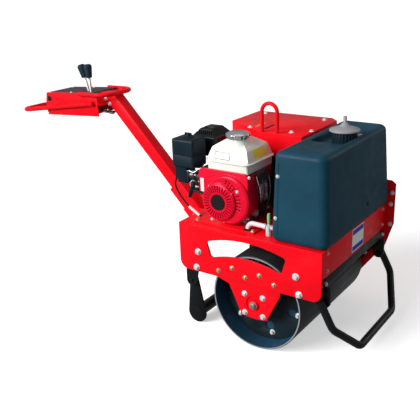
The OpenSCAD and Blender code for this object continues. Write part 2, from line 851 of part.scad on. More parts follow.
module hoop() {
    color(BLACK) {
        translate([hoop_pin.x, 0, hoop_pin.y]) rotate([0, hoop_lean, 0])
            bent_tube([[-12, -hoop_y], [104, -hoop_y], [234, -170], [234, 170], [104, hoop_y], [-12, hoop_y]], 45, hoop_d);
        for (s = [-1, 1]) translate([hoop_pin.x, 0, hoop_pin.y])
            bar_y(pin_d, s * (bracket_y + 10) - 20, s * (bracket_y + 10) + 20);
    }
}

module leg_outline() {
    hull() {
        translate([leg_x, leg_z]) circle(20, $fn = 32);
        translate([leg_x + 10, foot_r]) circle(foot_r, $fn = 32);
    }
}

module rear_stand() {
    color(BLACK) {
        for (s = [-1, 1]) {
            slab(s * leg_y - 5, s * leg_y + 5) leg_outline();
            translate([leg_x, 0, leg_z]) bar_y(pin_d, s * (leg_y + 9) - 19, s * (leg_y + 9) + 19);
        }
        translate([leg_x + 10, 0, foot_r]) bar_y(50, -leg_y, leg_y);
    }
}

side_plate_right();
side_plate_left();
deck();
front_plate();
front_bar();
rear_cross();
scraper();
bearing_right();
bearing_left();
drive_guard();
belt_hood();
lifting_eye();
engine_mount();
crankcase();
cylinder_block();
fan_cover();
starter();
pull_grip();
fuel_tank();
tank_brackets();
fuel_cap();
air_cleaner();
carburettor();
engine_controls();
muffler();
water_tank();
tank_cap();
water_valve();
water_hose();
spray_bar();
socket();
handle_beam();
control_head();
control_panel();
hand_rail();
lever_guard();
lever_rods();
lever_knobs();
throttle_cable();
drum_shell();
drum_webs();
drum_shafts();
hoop();
rear_stand();
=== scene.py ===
import math

import bmesh
import bpy
from mathutils import Matrix, Vector


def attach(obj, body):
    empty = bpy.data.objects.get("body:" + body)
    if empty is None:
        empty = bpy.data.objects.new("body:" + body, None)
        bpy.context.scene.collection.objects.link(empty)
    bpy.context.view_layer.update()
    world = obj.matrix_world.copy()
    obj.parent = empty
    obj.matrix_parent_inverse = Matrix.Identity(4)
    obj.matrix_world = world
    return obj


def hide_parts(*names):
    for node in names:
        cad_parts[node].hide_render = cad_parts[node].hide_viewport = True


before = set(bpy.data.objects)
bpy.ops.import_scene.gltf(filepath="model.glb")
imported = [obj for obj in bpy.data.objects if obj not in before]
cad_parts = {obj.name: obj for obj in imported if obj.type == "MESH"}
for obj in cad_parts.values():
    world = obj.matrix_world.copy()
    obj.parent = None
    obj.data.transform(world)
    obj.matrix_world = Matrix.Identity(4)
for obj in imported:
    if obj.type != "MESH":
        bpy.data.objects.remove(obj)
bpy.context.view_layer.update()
MM = 0.001


def placed(name, data):
    """A new object in the scene, with the data given."""
    piece = bpy.data.objects.new(name, data)
    bpy.context.scene.collection.objects.link(piece)
    return piece


# Photograph's view

def camera_axes(yaw, pitch, roll):
    """The camera's right, up and ahead directions, from its turns in radians."""
    ahead = Vector((-math.sin(yaw) * math.cos(pitch), math.cos(yaw) * math.cos(pitch), -math.sin(pitch)))
    right = Vector((math.cos(yaw), math.sin(yaw), 0))
    up = right.cross(ahead)
    turned_right = math.cos(roll) * right + math.sin(roll) * up
    turned_up = -math.sin(roll) * right + math.cos(roll) * up
    return turned_right, turned_up, ahead


def photo_camera():
    lens = bpy.data.cameras.new("photo_camera")
    lens.sensor_width = 36
    lens.lens = 56.99
    lens.clip_end = 100
    holder = placed("photo_camera", lens)
    right, up, ahead = camera_axes(yaw=math.radians(35.34), pitch=math.radians(20.0), roll=-0.03524)
    place = Vector((1.2238, -2.3160, 1.4587))
    holder.matrix_world = Matrix((
        (right.x, up.x, -ahead.x, place.x),
        (right.y, up.y, -ahead.y, place.y),
        (right.z, up.z, -ahead.z, place.z),
        (0, 0, 0, 1)))
    bpy.context.scene.camera = holder


def shine_along(holder, direction):
    holder.rotation_euler = direction.to_track_quat("-Z", "Y").to_euler()


def soft_light(name, place, target, size, watts):
    lamp = bpy.data.lights.new(name, "AREA")
    lamp.shape = "DISK"
    lamp.size = size
    lamp.energy = watts
    holder = placed(name, lamp)
    holder.location = place
    shine_along(holder, Vector(target) - Vector(place))


def studio():
    """A wide sun as key light, three softboxes, a white room and a pale floor."""
    sun = bpy.data.lights.new("key_light", "SUN")
    sun.energy = 2.75
    sun.angle = math.radians(38)
    shine_along(placed("key_light", sun), Vector((0.36, 0.80, -0.50)))
    soft_light("near_softbox", place=(-1.9, -2.9, 1.9), target=(-0.2, 0, 0.5), size=1.4, watts=50)
    soft_light("top_softbox", place=(-0.4, 0.3, 3.6), target=(-0.2, 0, 0.4), size=2.4, watts=5)
    soft_light("back_softbox", place=(2.6, 3.0, 2.2), target=(0, 0, 0.5), size=2.0, watts=24)
    world = bpy.data.worlds.new("white_room")
    world.use_nodes = True
    room = world.node_tree.nodes["Background"].inputs
    room["Color"].default_value = (1, 1, 1, 1)
    room["Strength"].default_value = 0.22
    bpy.context.scene.world = world
    bpy.context.scene.view_settings.view_transform = "Standard"
    reach = 120
    corners = [(x * reach, y * reach, 0) for x, y in ((-1, -1), (1, -1), (1, 1), (-1, 1))]
    mesh = bpy.data.meshes.new("floor")
    mesh.from_pydata(corners, [], [(0, 1, 2, 3)])
    floor = placed("floor", mesh)
    finish, _, shader = new_finish("floor_paint", (0.97, 0.97, 0.97), 0.8)
    shader.inputs["Specular IOR Level"].default_value = 0.1
    shader.inputs["Emission Color"].default_value = (1, 1, 1, 1)
    shader.inputs["Emission Strength"].default_value = 0.45
    mesh.materials.append(finish)
    floor.visible_diffuse = False
    floor.visible_glossy = False


# Finishes

def new_finish(name, base, roughness, metallic=0.0):
    finish = bpy.data.materials.new(name)
    finish.use_nodes = True
    shader = finish.node_tree.nodes["Principled BSDF"]
    shader.inputs["Base Color"].default_value = (*base, 1)
    shader.inputs["Roughness"].default_value = roughness
    shader.inputs["Metallic"].default_value = metallic
    return finish, finish.node_tree, shader


def shade(base, factor):
    return tuple(min(1, c * factor) for c in base)


def noise(tree, scale, detail, stretch=(1, 1, 1), roughness=0.5):
    place = tree.nodes.new("ShaderNodeTexCoord")
    mapping = tree.nodes.new("ShaderNodeMapping")
    mapping.inputs["Scale"].default_value = stretch
    texture = tree.nodes.new("ShaderNodeTexNoise")
    texture.inputs["Scale"].default_value = scale
    texture.inputs["Detail"].default_value = detail
    texture.inputs["Roughness"].default_value = roughness
    tree.links.new(place.outputs["Object"], mapping.inputs["Vector"])
    tree.links.new(mapping.outputs["Vector"], texture.inputs["Vector"])
    return texture.outputs["Fac"]


def spread(tree, value, low, high, to_low, to_high):
    """The value's range from low to high, spread over the range from to_low to to_high."""
    node = tree.nodes.new("ShaderNodeMapRange")
    for name, number in (("From Min", low), ("From Max", high), ("To Min", to_low), ("To Max", to_high)):
        node.inputs[name].default_value = number
    tree.links.new(value, node.inputs["Value"])
    return node.outputs["Result"]


def mixed(tree, factor, first, second):
    """A mix of two colours, of which the first may be another node's output."""
    node = tree.nodes.new("ShaderNodeMix")
    node.data_type = "RGBA"
    if isinstance(first, tuple):
        node.inputs["A"].default_value = (*first, 1)
    else:
        tree.links.new(first, node.inputs["A"])
    node.inputs["B"].default_value = (*second, 1)
    tree.links.new(factor, node.inputs["Factor"])
    return node.outputs["Result"]


def relief(tree, height, strength, distance, after=None):
    node = tree.nodes.new("ShaderNodeBump")
    node.inputs["Strength"].default_value = strength
    node.inputs["Distance"].default_value = distance
    tree.links.new(height, node.inputs["Height"])
    if after is not None:
        tree.links.new(after, node.inputs["Normal"])
    return node.outputs["Normal"]


def wire_up(tree, shader, colour, roughness, normal):
    for source, name in ((colour, "Base Color"), (roughness, "Roughness"), (normal, "Normal")):
        tree.links.new(source, shader.inputs[name])


def paint(name, base, roughness=0.3, tone=0.08, dust=0.03, coat=0.0, gloss=0.35, tint=(1, 1, 1)):
    """Sprayed enamel: a slight change of tone, fine orange peel and a film of dust in patches."""
    finish, tree, shader = new_finish(name, base, roughness)
    shader.inputs["Specular IOR Level"].default_value = gloss
    shader.inputs["Specular Tint"].default_value = (*tint, 1)
    shader.inputs["Coat Weight"].default_value = coat
    shader.inputs["Coat Roughness"].default_value = 0.12
    patches = spread(tree, noise(tree, 5, 4), 0.35, 0.65, 0, 1)
    colour = mixed(tree, patches, shade(base, 1 - tone), shade(base, 1 + tone))
    film = spread(tree, noise(tree, 14, 8, roughness=0.7), 0.56, 0.78, 0, dust)
    grey = tuple(0.7 * c + 0.12 for c in base)
    sheen = spread(tree, noise(tree, 30, 5), 0.3, 0.7, roughness * 0.8, roughness * 1.3)
    peel = relief(tree, noise(tree, 260, 2), 0.08, 0.0006)
    waves = relief(tree, noise(tree, 9, 2), 0.12, 0.004, peel)
    wire_up(tree, shader, mixed(tree, film, colour, grey), sheen, waves)
    return finish


def moulding(name, base, roughness=0.45, tone=0.12, grain=0.18, gloss=0.2):
    """Moulded plastic: fine grain, and a sheen that varies over the surface."""
    finish, tree, shader = new_finish(name, base, roughness)
    shader.inputs["Specular IOR Level"].default_value = gloss
    patches = spread(tree, noise(tree, 7, 5), 0.35, 0.65, 0, 1)
    colour = mixed(tree, patches, shade(base, 1 - tone), shade(base, 1 + tone))
    sheen = spread(tree, noise(tree, 20, 6), 0.3, 0.7, roughness * 0.85, roughness * 1.2)
    fine = relief(tree, noise(tree, 700, 2), grain, 0.0004)
    wire_up(tree, shader, colour, sheen, relief(tree, noise(tree, 6, 2), 0.25, 0.006, fine))
    return finish


def bare_metal(name, base, roughness, scale, metallic, stretch=(1, 1, 1), tone=0.2, depth=0.15):
    """Bare or plated metal: rolling or turning marks along one direction, with stains in patches."""
    finish, tree, shader = new_finish(name, base, roughness, metallic)
    marks = noise(tree, scale, 6, stretch)
    colour = mixed(tree, spread(tree, marks, 0.3, 0.7, 0, 1), shade(base, 1 - tone), base)
    stain = spread(tree, noise(tree, 11, 6, roughness=0.65), 0.5, 0.75, 0, 0.35)
    sheen = spread(tree, marks, 0.3, 0.7, roughness * 0.75, roughness * 1.35)
    stained = mixed(tree, stain, colour, shade(base, 0.6))
    wire_up(tree, shader, stained, sheen, relief(tree, marks, depth, 0.0008))
    return finish


def cast_metal(name, base, roughness=0.5, metallic=0.8):
    """Sand or die cast metal with a pebbled skin and darker hollows."""
    finish, tree, shader = new_finish(name, base, roughness, metallic)
    lumps = noise(tree, 320, 4)
    hollows = spread(tree, noise(tree, 40, 6), 0.35, 0.7, 0, 1)
    sheen = spread(tree, lumps, 0.3, 0.7, roughness * 0.8, roughness * 1.25)
    colour = mixed(tree, hollows, shade(base, 0.65), base)
    wire_up(tree, shader, colour, sheen, relief(tree, lumps, 0.35, 0.0008))
    return finish


red_enamel = paint("red_enamel", (0.90, 0.0035, 0.011), roughness=0.34, dust=0.015, tint=(1, 0.2, 0.25))
black_enamel = paint("black_enamel", (0.005, 0.006, 0.007), roughness=0.3, tone=0.2, dust=0.01, gloss=0.25)
engine_enamel = paint("engine_enamel", (0.74, 0.003, 0.026), roughness=0.24, coat=0.12, dust=0.01,
                      gloss=0.45, tint=(1, 0.35, 0.55))
cream_enamel = paint("cream_enamel", (0.88, 0.91, 0.80), roughness=0.25, tone=0.03, dust=0.03, coat=0.2)
drum_steel = bare_metal("drum_steel", (0.035, 0.042, 0.046), roughness=0.45, scale=90, metallic=0.5,
                        stretch=(1, 0.06, 1))
# The blue in the base colour stands in for bluish reflected light: painted reflection on the drum's dark
# inside paint.
web_paint = paint("web_paint", (0.012, 0.060, 0.115), roughness=0.45, tone=0.25, dust=0.02)
disc_paint = paint("disc_paint", (0.003, 0.012, 0.018), roughness=0.5, tone=0.3, dust=0.02)
bracket_paint = paint("bracket_paint", (0.50, 0.63, 0.66), roughness=0.4, tone=0.1, dust=0.03)
zinc_plate = bare_metal("zinc_plate", (0.95, 0.93, 0.95), roughness=0.3, scale=200, metallic=0.35)
yellow_zinc = bare_metal("yellow_zinc", (0.75, 0.55, 0.38), roughness=0.34, scale=200, metallic=0.7)
dull_zinc = bare_metal("dull_zinc", (0.36, 0.34, 0.33), roughness=0.4, scale=200, metallic=0.7)
bright_rim_steel = bare_metal("bright_rim_steel", (0.42, 0.46, 0.48), roughness=0.35, scale=120, metallic=0.4)
chrome = bare_metal("chrome", (0.88, 0.88, 0.90), roughness=0.14, scale=120, metallic=0.9, tone=0.05,
                    depth=0.02)
cast_alloy = cast_metal("cast_alloy", (0.30, 0.31, 0.33))
dark_alloy = cast_metal("dark_alloy", (0.07, 0.08, 0.09), roughness=0.42)
# The blue in the base colour stands in for the bluish light that the tank's sides reflect: painted
# reflection, on plastic that is near black.
tank_plastic = moulding("tank_plastic", (0.010, 0.053, 0.086), roughness=0.42, gloss=0.1)
faded_enamel = paint("faded_enamel", (0.55, 0.60, 0.62), roughness=0.4, gloss=0.4)
# The blue in the base colour stands in for bluish reflected light: painted reflection on black plastic.
black_plastic = moulding("black_plastic", (0.007, 0.017, 0.026), roughness=0.42, gloss=0.15)
panel_film = moulding("panel_film", (0.050, 0.036, 0.055), roughness=0.35, grain=0.05)
cap_plastic = moulding("cap_plastic", (0.30, 0.29, 0.31), roughness=0.28, gloss=0.5)
# The blue in the base colour stands in for bluish reflected light: painted reflection on the black grips.
soft_grip = moulding("soft_grip", (0.010, 0.030, 0.045), roughness=0.5, grain=0.4)
sleeve_pvc = moulding("sleeve_pvc", (0.86, 0.66, 0.70), roughness=0.35, tone=0.05)
green_vinyl = moulding("green_vinyl", (0.20, 0.62, 0.26), roughness=0.35, tone=0.06)
cable_jacket = moulding("cable_jacket", (0.006, 0.007, 0.009), roughness=0.45)
# Flat black for black parts. It is also used for the plates and discs that stand in for shade in the hood's
# slot, behind the starter's slots and in the gap behind the engine: painted shade.
black_and_painted_shade = moulding("black_and_painted_shade", (0.006, 0.005, 0.006), roughness=0.6)
white_film = moulding("white_film", (0.90, 0.90, 0.90), roughness=0.3, tone=0.02, grain=0.03)
blue_film = moulding("blue_film", (0.004, 0.02, 0.50), roughness=0.3, tone=0.03, grain=0.03)
orange_film = moulding("orange_film", (0.95, 0.20, 0.03), roughness=0.3, tone=0.04, grain=0.03)
yellow_film = moulding("yellow_film", (0.98, 0.84, 0.06), roughness=0.3, tone=0.03, grain=0.03)
ink_film = moulding("ink_film", (0.012, 0.012, 0.016), roughness=0.35, tone=0.03, grain=0.03)


# Shaping

ALONG_X, AGAINST_X, ALONG_Y, ALONG_Z = (1, 0, 0), (-1, 0, 0), (0, 1, 0), (0, 0, 1)


def settle(piece, finish, body, smooth, stands_for=()):
    """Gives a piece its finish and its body. Edges sharper than smooth, in degrees, stay sharp."""
    mesh = piece.data
    mesh.materials.clear()
    mesh.materials.append(finish)
    mesh.shade_smooth()
    mesh.set_sharp_from_angle(angle=math.radians(smooth))
    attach(piece, body)
    if stands_for:
        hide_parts(*stands_for)
    return piece


def as_piece(name, bm, finish, body="chassis", stands_for=(), smooth=35):
    mesh = bpy.data.meshes.new(name)
    bm.to_mesh(mesh)
    bm.free()
    return settle(placed(name, mesh), finish, body, smooth, stands_for)


def bake_modifiers(piece):
    bpy.context.view_layer.update()
    graph = bpy.context.evaluated_depsgraph_get()
    mesh = bpy.data.meshes.new_from_object(piece.evaluated_get(graph), depsgraph=graph)
    old = piece.data
    piece.modifiers.clear()
    piece.data = mesh
    bpy.data.meshes.remove(old)


def eased_copy(node, finish, body="chassis", edge=0.0012, keep=None, suffix="_eased"):
    """A copy of a CAD solid that stands for it, with its edges eased by a small round unless edge is 0.
    Where keep is given, only the faces whose middle in millimetres it accepts are copied."""
    bm = bmesh.new()
    bm.from_mesh(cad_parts[node].data)
    bmesh.ops.remove_doubles(bm, verts=bm.verts, dist=2e-6)
    if keep:
        out = [f for f in bm.faces if not keep(f.calc_center_median() * 1000)]
        bmesh.ops.delete(bm, geom=out, context="FACES")
    bmesh.ops.dissolve_limit(bm, angle_limit=math.radians(0.3), verts=bm.verts, edges=bm.edges)
    mesh = bpy.data.meshes.new(node + suffix)
    bm.to_mesh(mesh)
    bm.free()
    piece = placed(node + suffix, mesh)
    if edge:
        bevel = piece.modifiers.new("edge", "BEVEL")
        bevel.width = edge
        bevel.segments = 2
        bevel.limit_method = "ANGLE"
        bevel.angle_limit = math.radians(32)
        bevel.use_clamp_overlap = False
        bake_modifiers(piece)
    return settle(piece, finish, body, 40, (node,))


def dress(finish, slot, *names, body="chassis", edge=0.0012):
    for name in names:
        eased_copy(name, finish, body, edge)


def plane_at(origin, across, up):
    """Matrix of a plane whose own X and Y run along across and up, in millimetres."""
    u = Vector(across).normalized()
    n = u.cross(Vector(up)).normalized()
    v = n.cross(u)
    o = Vector(origin)
    return Matrix(((u.x, v.x, n.x, o.x), (u.y, v.y, n.y, o.y), (u.z, v.z, n.z, o.z), (0, 0, 0, 1)))


def round_corners(points, r, steps=5):
    out = []
    count = len(points)
    for i, p in enumerate(points):
        p = Vector(p)
        to_last = (Vector(points[i - 1]) - p).normalized()
        to_next = (Vector(points[(i + 1) % count]) - p).normalized()
        half = to_last.angle(to_next) / 2
        reach = r / math.tan(half)
        middle = p + (to_last + to_next).normalized() * (r / math.sin(half))
        a, b = p + to_last * reach - middle, p + to_next * reach - middle
        out += [middle + a.slerp(b, k / steps) for k in range(steps + 1)]
    return out


def face_of(node, axis, end):
    """How far a CAD solid reaches along x, y or z, in millimetres to a tenth. end is min or max."""
    places = [getattr(vertex.co, axis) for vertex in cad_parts[node].data.vertices]
    return round(end(places) / MM, 1)


def middle_of(node, axis):
    return (face_of(node, axis, min) + face_of(node, axis, max)) / 2


def box_outline(w, h, x=0, y=0):
    return [(x - w / 2, y - h / 2), (x + w / 2, y - h / 2), (x + w / 2, y + h / 2), (x - w / 2, y + h / 2)]


def around(x, y, z, radius, turns):
    """Places on an upright circle, one for each turn in radians."""
    return [(x + radius * math.cos(a), y, z + radius * math.sin(a)) for a in turns]


def at_depth(y, places):
    """Places on an upright face at y, from pairs of x and z."""
    return [(x, y, z) for x, z in places]


def ring_turns(sides):
    return [k * 2 * math.pi / sides for k in range(sides)]


def bridge(bm, first, second):
    """Faces between two closed rings of the same number of points."""
    count = len(first)
    for k in range(count):
        bm.faces.new((first[k], first[(k + 1) % count], second[(k + 1) % count], second[k]))


def close_up(bm, rings):
    """Faces between closed rings, with the first and the last ring filled."""
    for first, second in zip(rings, rings[1:]):
        bridge(bm, first, second)
    bm.faces.new(list(reversed(rings[0])))
    bm.faces.new(rings[-1])


def add_plate(bm, outline, thick, matrix, lift):
    """A flat plate from lift to lift + thick, with its outline in millimetres on the matrix's plane."""
    low, high = [[bm.verts.new(matrix @ Vector((p[0], p[1], h)) * MM) for p in outline]
                 for h in (lift, lift + thick)]
    bm.faces.new(high)
    bm.faces.new(list(reversed(low)))
    bridge(bm, low, high)


def plate_piece(name, outlines, thick, matrix, finish, lift=0.0):
    bm = bmesh.new()
    for outline in outlines:
        add_plate(bm, outline, thick, matrix, lift)
    return as_piece(name, bm, finish)


def smooth_path(points, steps):
    """A Catmull-Rom curve through the points, with the number of steps given between each two."""
    pts = [Vector(p) for p in points]
    pts = [2 * pts[0] - pts[1]] + pts + [2 * pts[-1] - pts[-2]]
    out = []
    for a, b, c, d in zip(pts, pts[1:], pts[2:], pts[3:]):
        for k in range(steps):
            t = k / steps
            bend, twist = 2 * a - 5 * b + 4 * c - d, 3 * b - a - 3 * c + d
            out.append(0.5 * (2 * b + (c - a) * t + bend * t * t + twist * t ** 3))
    return out + [pts[-2]]


def add_tube(bm, path, width, sides):
    """A round tube along a path in millimetres. width is its diameter, or a list of one for each point."""
    side = Vector(ALONG_Z)
    rings = []
    for i, p in enumerate(path):
        ahead = (path[min(i + 1, len(path) - 1)] - path[max(i - 1, 0)]).normalized()
        across = ahead.cross(side)
        if across.length < 0.1:
            across = ahead.cross(Vector(ALONG_X))
        across.normalize()
        side = across.cross(ahead).normalized()
        r = (width if isinstance(width, (int, float)) else width[i]) / 2
        rings.append([bm.verts.new((p + r * (math.cos(a) * across + math.sin(a) * side)) * MM)
                      for a in ring_turns(sides)])
    close_up(bm, rings)


def tube_piece(name, paths, width, finish, sides=12, stands_for=()):
    bm = bmesh.new()
    for path in paths:
        add_tube(bm, [Vector(p) for p in path], width, sides)
    bmesh.ops.recalc_face_normals(bm, faces=bm.faces)
    return as_piece(name, bm, finish, stands_for=stands_for)


def turned_rings(bm, profile, matrix, sides):
    """Rings about the matrix's Z axis, from points of radius and height in millimetres."""
    return [[bm.verts.new(matrix @ Vector((r * math.cos(a), r * math.sin(a), h)) * MM)
             for a in ring_turns(sides)] for r, h in profile]


def turned_piece(name, profile, matrices, finish, body="chassis", sides=32):
    bm = bmesh.new()
    for matrix in matrices:
        close_up(bm, turned_rings(bm, profile, matrix, sides))
    bmesh.ops.recalc_face_normals(bm, faces=bm.faces)
    return as_piece(name, bm, finish, body)


def rounded_ring(x0, x1, y0, y1, radii, z, steps=9):
    """A level ring round a rectangle, with radii for its corners at x1 y0, x1 y1, x0 y1 and x0 y0."""
    corners = ((x1, y0, -90), (x1, y1, 0), (x0, y1, 90), (x0, y0, 180))
    out = []
    for (x, y, start), r in zip(corners, radii):
        cx, cy = x - math.copysign(r, x - (x0 + x1) / 2), y - math.copysign(r, y - (y0 + y1) / 2)
        for k in range(steps + 1):
            a = math.radians(start + 90 * k / steps)
            out.append((cx + r * math.cos(a), cy + r * math.sin(a), z))
    return out


# Bolts, from one Geometry Nodes tree

def new_node(tree, kind, links=(), **values):
    """The first output of a new node, with its inputs set from values and links by the input's name."""
    node = tree.nodes.new(kind)
    for name, value in values.items():
        node.inputs[name].default_value = value
    for source, name in links:
        tree.links.new(source, node.inputs[name])
    return node.outputs[0]


def math_node(tree, operation, first, second):
    node = tree.nodes.new("ShaderNodeMath")
    node.operation = operation
    for socket, value in zip(node.inputs, (first, second)):
        if isinstance(value, (int, float)):
            socket.default_value = value
        else:
            tree.links.new(value, socket)
    return node.outputs[0]


def bolt_tree():
    """A washer, a head and a crown on every place, each turned by chance about its own axis."""
    washer_share, crown_share, crown_taper = 0.24, 0.22, 0.74
    tree = bpy.data.node_groups.new("bolt_pattern", "GeometryNodeTree")
    inputs = {"Places": "Geometry", "Turn": "Vector", "Radius": "Float", "Height": "Float",
              "Washer radius": "Float", "Sides": "Int", "Seed": "Int", "Finish": "Material"}
    for name, kind in inputs.items():
        tree.interface.new_socket(name, in_out="INPUT", socket_type="NodeSocket" + kind)
    tree.interface.new_socket("Bolts", in_out="OUTPUT", socket_type="NodeSocketGeometry")
    given = tree.nodes.new("NodeGroupInput").outputs
    height = given["Height"]
    thick = math_node(tree, "MULTIPLY", height, washer_share)

    def lifted(shape, by):
        move = new_node(tree, "ShaderNodeCombineXYZ", [(by, "Z")])
        return new_node(tree, "GeometryNodeTransform", [(shape, "Geometry"), (move, "Translation")])

    head = new_node(tree, "GeometryNodeMeshCylinder",
                    [(given["Sides"], "Vertices"), (given["Radius"], "Radius"), (height, "Depth")])
    head = lifted(head, math_node(tree, "ADD", math_node(tree, "MULTIPLY", height, 0.5), thick))
    crown_height = math_node(tree, "MULTIPLY", height, crown_share)
    crown_top = math_node(tree, "MULTIPLY", given["Radius"], crown_taper)
    crown = new_node(tree, "GeometryNodeMeshCone",
                     [(given["Sides"], "Vertices"), (given["Radius"], "Radius Bottom"),
                      (crown_top, "Radius Top"), (crown_height, "Depth")])
    crown = lifted(crown, math_node(tree, "ADD", height, thick))
    washer = new_node(tree, "GeometryNodeMeshCylinder",
                      [(given["Washer radius"], "Radius"), (thick, "Depth")], Vertices=24)
    washer = lifted(washer, math_node(tree, "MULTIPLY", thick, 0.5))
    join = tree.nodes.new("GeometryNodeJoinGeometry")
    for shape in (head, crown, washer):
        tree.links.new(shape, join.inputs[0])
    spin = tree.nodes.new("FunctionNodeRandomValue")
    spin.data_type = "FLOAT"
    tree.links.new(given["Seed"], spin.inputs["Seed"])
    # The node has sockets for each kind of value: input 3 is the largest float, output 1 the float drawn
    spin.inputs[3].default_value = 2 * math.pi
    about_axis = new_node(tree, "ShaderNodeCombineXYZ", [(spin.outputs[1], "Z")])
    own = new_node(tree, "FunctionNodeEulerToRotation", [(about_axis, "Euler")])
    turned = tree.nodes.new("FunctionNodeRotateRotation")
    turned.rotation_space = "LOCAL"
    facing = new_node(tree, "FunctionNodeEulerToRotation", [(given["Turn"], "Euler")])
    tree.links.new(facing, turned.inputs["Rotation"])
    tree.links.new(own, turned.inputs["Rotate By"])
    links = [(given["Places"], "Points"), (join.outputs[0], "Instance"), (turned.outputs[0], "Rotation")]
    result = new_node(tree, "GeometryNodeInstanceOnPoints", links)
    result = new_node(tree, "GeometryNodeRealizeInstances", [(result, "Geometry")])
    result = new_node(tree, "GeometryNodeSetMaterial", [(result, "Geometry"), (given["Finish"], "Material")])
    tree.links.new(result, tree.nodes.new("NodeGroupOutput").inputs[0])
    return tree


TURNS = {"-y": (math.pi / 2, 0, 0), "+y": (-math.pi / 2, 0, 0), "+x": (0, math.pi / 2, 0), "+z": (0, 0, 0)}

# Sizes of bolts and screws in millimetres: the head's radius and height, and the washer's radius
FRAME_BOLT = (10.5, 8.5, 14.5)
FRAME_SCREW = (7, 5.5, 10.5)
BEARING_BOLT = (8.5, 7, 12.5)
AXLE_BOLT = (13, 7, 17)
GUARD_BOLT = (6.5, 5.5, 10)
GUARD_FRONT_BOLT = (6.5, 7, 10)
PLATE_SCREW = (5, 4, 8)
SMALL_BOLT = (6, 5, 9)
MOUNT_BOLT = (6.5, 6, 10)
CHEEK_BOLT = (9, 8, 14)
HOOD_BOLT = (6.5, 5, 11)
DISC_BOLT = (8, 9, 12)
BEAM_BOLT = (7, 6, 10)
SMALL_SCREW = (3.6, 3, 5.5)
COVER_SCREW = (4.2, 3.5, 6.5)
CARBURETTOR_SCREW = (4.2, 4, 6.5)
BOWL_SCREW = (3.5, 3.5, 5)
PANEL_SCREW = (4, 2.6, 7)
TANK_SCREW = (4.5, 3, 7.5)


def bolts(name, places, way, size, finish, body="chassis", sides=6, seed=1):
    """Bolts standing on a face. way is the face's direction, from TURNS, or an Euler turn of its own."""
    mesh = bpy.data.meshes.new(name)
    mesh.from_pydata([Vector(p) * MM for p in places], [], [])
    piece = placed(name, mesh)
    modifier = piece.modifiers.new("pattern", "NODES")
    modifier.node_group = pattern
    radius, height, washer = size
    turn = TURNS[way] if isinstance(way, str) else way
    chosen = {"Turn": turn, "Radius": radius * MM, "Height": height * MM, "Washer radius": washer * MM,
              "Sides": sides, "Seed": seed, "Finish": finish}
    for item in pattern.interface.items_tree:
        if item.name in chosen:
            modifier[item.identifier] = chosen[item.name]
    piece.update_tag()
    bake_modifiers(piece)
    return settle(piece, finish, body, smooth=30)


photo_camera()
studio()

pattern = bolt_tree()

dress(red_enamel, "red_paint", "side_plate_right", "side_plate_left", "deck", "front_plate", "rear_cross",
      "drive_guard", "belt_hood", "engine_mount", "control_head", "bearing_right", "bearing_left")
dress(red_enamel, "red_paint", "socket", "handle_beam", edge=0.003)
dress(red_enamel, "red_paint", "lifting_eye", "hand_rail", "lever_guard", edge=0)
dress(black_enamel, "black_paint", "front_bar", "muffler")
dress(cast_alloy, "black_paint", "tank_brackets")
dress(drum_steel, "rolled_steel", "scraper")
dress(zinc_plate, "bright_steel", "spray_bar", edge=0.0006)
dress(chrome, "bright_steel", "fuel_cap", edge=0.0006)
dress(zinc_plate, "bright_steel", "lever_rods", edge=0)
dress(cast_alloy, "cast_aluminium", "crankcase", "cylinder_block")
dress(dark_alloy, "cast_aluminium", "carburettor")
dress(engine_enamel, "engine_red", "fan_cover")
dress(black_plastic, "black_plastic", "pull_grip", "air_cleaner", edge=0.0015)
dress(panel_film, "black_plastic", "control_panel", edge=0)
dress(soft_grip, "black_plastic", "lever_knobs", edge=0.003)
dress(sleeve_pvc, "hose_pvc", "water_hose", edge=0)
dress(bracket_paint, "dark_steel", "engine_controls")
dress(cream_enamel, "cream_paint", "fuel_tank", edge=0)
dress(faded_enamel, "valve_brass", "water_valve")
dress(disc_paint, "dark_steel", "drum_webs", body="drum")
dress(black_enamel, "black_paint", "hoop", body="hoop", edge=0)
dress(black_enamel, "black_paint", "rear_stand", body="rear_stand")


# Frame

# In millimetres: the axle's height, the side plates' outer faces, the front plate's face, the hood's top
AXLE_Z = middle_of("drum_webs", "z")
SIDE_FACE = face_of("side_plate_left", "y", max)
FRONT_X = face_of("front_plate", "x", max)
HOOD_TOP = face_of("belt_hood", "z", max)


def frame_fasteners():
    big = [(-259, 375), (-269, 304), (186, 371), (200, 300)]
    small = [(-162, 313), (-97, 340), (-36, 312), (28, 337), (93, 312)]
    ring = [(x, AXLE_Z + z) for x in (-41.5, 41.5) for z in (-41.5, 41.5)]
    lower = [(x, z) for x, z in big if z < 310]
    bolts("side_bolts_right", at_depth(-SIDE_FACE, big), "-y", FRAME_BOLT, zinc_plate)
    bolts("side_screws_right", at_depth(-SIDE_FACE, small), "-y", FRAME_SCREW, yellow_zinc, seed=4)
    bolts("bearing_bolts_right", at_depth(-314, ring), "-y", BEARING_BOLT, zinc_plate, seed=7)
    bolts("side_bolts_left", at_depth(SIDE_FACE, lower), "+y", FRAME_BOLT, zinc_plate, seed=2)
    bolts("side_screws_left", at_depth(SIDE_FACE, small[:1]), "+y", FRAME_SCREW, yellow_zinc, seed=5)
    stub = [(18, 0), (20, 2), (20, 655), (18, 657)]
    near_end, far_end = (0, -320, AXLE_Z), (0, 337, AXLE_Z)
    at = plane_at(far_end, ALONG_X, ALONG_Z)
    shaft = turned_piece("axle", stub, [at], red_enamel, "drum")
    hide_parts("drum_shafts")
    bolts("shaft_bolts_near", [near_end], "-y", AXLE_BOLT, dull_zinc, "drum")
    bolts("shaft_bolts_far", [far_end], "+y", AXLE_BOLT, dull_zinc, "drum")


